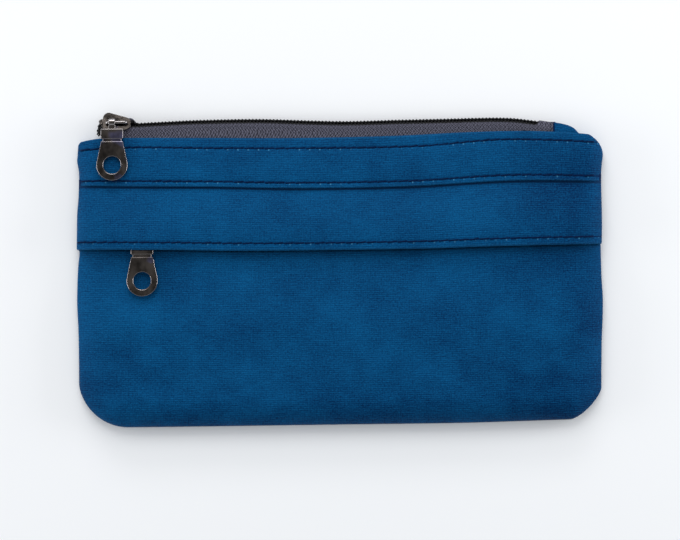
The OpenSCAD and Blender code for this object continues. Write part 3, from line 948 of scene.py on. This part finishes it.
def tape_look():
    """Zip tape: a herringbone of fine slanting ribs that turns every 1.25 mm up the tape."""
    look = Look("grey_zip_tape", Specular_IOR_Level=0.1)
    along, up, at = look.flat_cloth()
    fold = 1.25
    zigzag = (up / fold).maths("PINGPONG", 1.0) * fold
    ribs = ((along + zigzag) * (2 * math.pi / 1.1)).sine() * 0.5
    dashes = ((along - zigzag) * (2 * math.pi / 1.7)).sine() * 0.5
    fleck = look.grain(at, (0.8, 0.6, 1), 3, 0.7) - 0.5
    share = (ribs * 0.6 + dashes * 0.3 + fleck * 1.6 + 0.42).clamped()
    look.feed("Base Color", look.blend(share, paint(33, 33, 42), paint(104, 104, 120)))
    look.feed("Roughness", fleck * 0.2 + 0.72)
    look.bump(ribs + fleck * 0.6, 0.12)
    return look.material


def plastic_look():
    look = Look("black_coil", Specular_IOR_Level=0.12)
    at = look.place()
    wear_and_painted_highlight = look.grain(at, (2.2, 1.2, 1.2), 3)
    look.feed("Base Color", look.blend(wear_and_painted_highlight, paint(3, 3, 4), paint(16, 16, 19)))
    look.feed("Roughness", wear_and_painted_highlight * 0.25 + 0.28)
    look.bump(look.grain(at, (0.3, 0.3, 0.3), 2), 0.02)
    return look.material


def metal_look():
    """Black nickel: a dark mirror with faint smears, fine scratches and small dents, painted reflections in
    pale and purplish patches, and a painted highlight on its eased edges.
    """
    look = Look("black_nickel", Metallic=1.0)
    at = look.place()
    smears_and_painted_reflection = look.grain(at, (6, 8, 6), 3).step(0.3, 0.7)
    scratch = look.grain(at, (2.5, 0.12, 2.5), 2, 0.6)
    dent = look.grain(at, (1.7, 1.7, 1.7), 2)
    edge = look.node("ShaderNodeAttribute", {"attribute_name": "edge"}, {}).value(2)
    # Painted reflection: with the smears the colour runs from dark to a pale tint, purplish in places
    painted_reflection_tint = look.blend(look.grain(at, (7, 7, 7), 1).step(0.55, 0.68), paint(82, 76, 72), paint(92, 90, 116))
    flat = look.blend(smears_and_painted_reflection, paint(38, 35, 33), painted_reflection_tint)
    # Painted highlight: the eased edges are painted pale
    look.feed("Base Color", look.blend(edge * 0.7, flat, paint(178, 174, 175)))
    look.feed("Roughness", smears_and_painted_reflection * 0.08 + scratch * 0.06 + 0.08)
    look.bump(dent + scratch * 0.06, 0.06, 0.6)
    return look.material


def thread_look():
    """Bonded thread: plies that twist round it, dark navy."""
    look = Look("navy_thread", Specular_IOR_Level=0.05)
    at = look.place()
    parts = look.node("ShaderNodeSeparateXYZ", {}, {0: at})
    plies = ((parts.value(0) + parts.value(1) * 1.6) * (2 * math.pi / 0.55)).sine() * 0.5 + 0.5
    fuzz = look.grain(at, (0.4, 0.4, 0.4), 3)
    share = (plies * 0.5 + fuzz * 0.6 - 0.1).clamped()
    look.feed("Base Color", look.blend(share, paint(1, 10, 36), paint(4, 34, 78)))
    look.feed("Roughness", fuzz * 0.2 + 0.5)
    look.bump(plies, 0.06)
    return look.material


# ---- Table, light and camera ----

def make_table():
    bm = bmesh.new()
    bmesh.ops.create_grid(bm, x_segments=1, y_segments=1, size=3000)
    bmesh.ops.translate(bm, vec=(0, -BOTTOM_Y, 0), verts=bm.verts)
    look = Look("white_table", Base_Color=(0.89, 0.9, 0.92, 1), Roughness=0.8, Specular_IOR_Level=0.1)
    mesh_of(bm, "table", look.material)


def soft_light(name, at, size, watts, aim=(0, 0, 0)):
    light = bpy.data.lights.new(name, "AREA")
    light.shape = "RECTANGLE"
    light.size, light.size_y = size
    light.energy = watts
    lamp = bpy.data.objects.new(name, light)
    lamp.location = at
    lamp.rotation_euler = (Vector(aim) - Vector(at)).to_track_quat("-Z", "Y").to_euler()
    bpy.context.scene.collection.objects.link(lamp)


def make_light():
    world = bpy.data.worlds.new("studio")
    world.use_nodes = True
    world.node_tree.nodes["Background"].inputs["Color"].default_value = (0.95, 0.98, 1.0, 1)
    world.node_tree.nodes["Background"].inputs["Strength"].default_value = 0.55
    bpy.context.scene.world = world
    soft_light("window_light", (-0.2, 1.3, 1.3), (1.5, 0.8), 12.8)
    soft_light("back_strip", (-0.1, 0.85, 0.36), (0.6, 0.18), 2.2)
    soft_light("right_strip", (0.8, 0.1, 0.22), (0.6, 0.28), 3.2)
    soft_light("left_strip", (-0.8, 0.0, 0.22), (0.6, 0.22), 2.2)


def make_camera():
    """Straight above the pouch and turned a little, so that the seams rise to the right."""
    camera = bpy.data.cameras.new("camera")
    camera.lens = 120
    camera.sensor_width = 36
    width = 0.272
    viewer = bpy.data.objects.new("camera", camera)
    viewer.location = (0, -0.0015, width * camera.lens / camera.sensor_width + 0.008)
    viewer.rotation_euler = (0, 0, math.radians(-0.7))
    bpy.context.scene.collection.objects.link(viewer)
    bpy.context.scene.camera = viewer
    bpy.context.scene.view_settings.view_transform = "Standard"


make_camera()
make_light()
make_table()
METAL = metal_look()
make_canvas(canvas_look("waxed_canvas"), canvas_look("waxed_canvas_flap", BAND_EDGE))
make_linings(lining_look())
make_zips(tape_look(), plastic_look(), METAL)
make_metal(METAL)
make_stitches(thread_look())
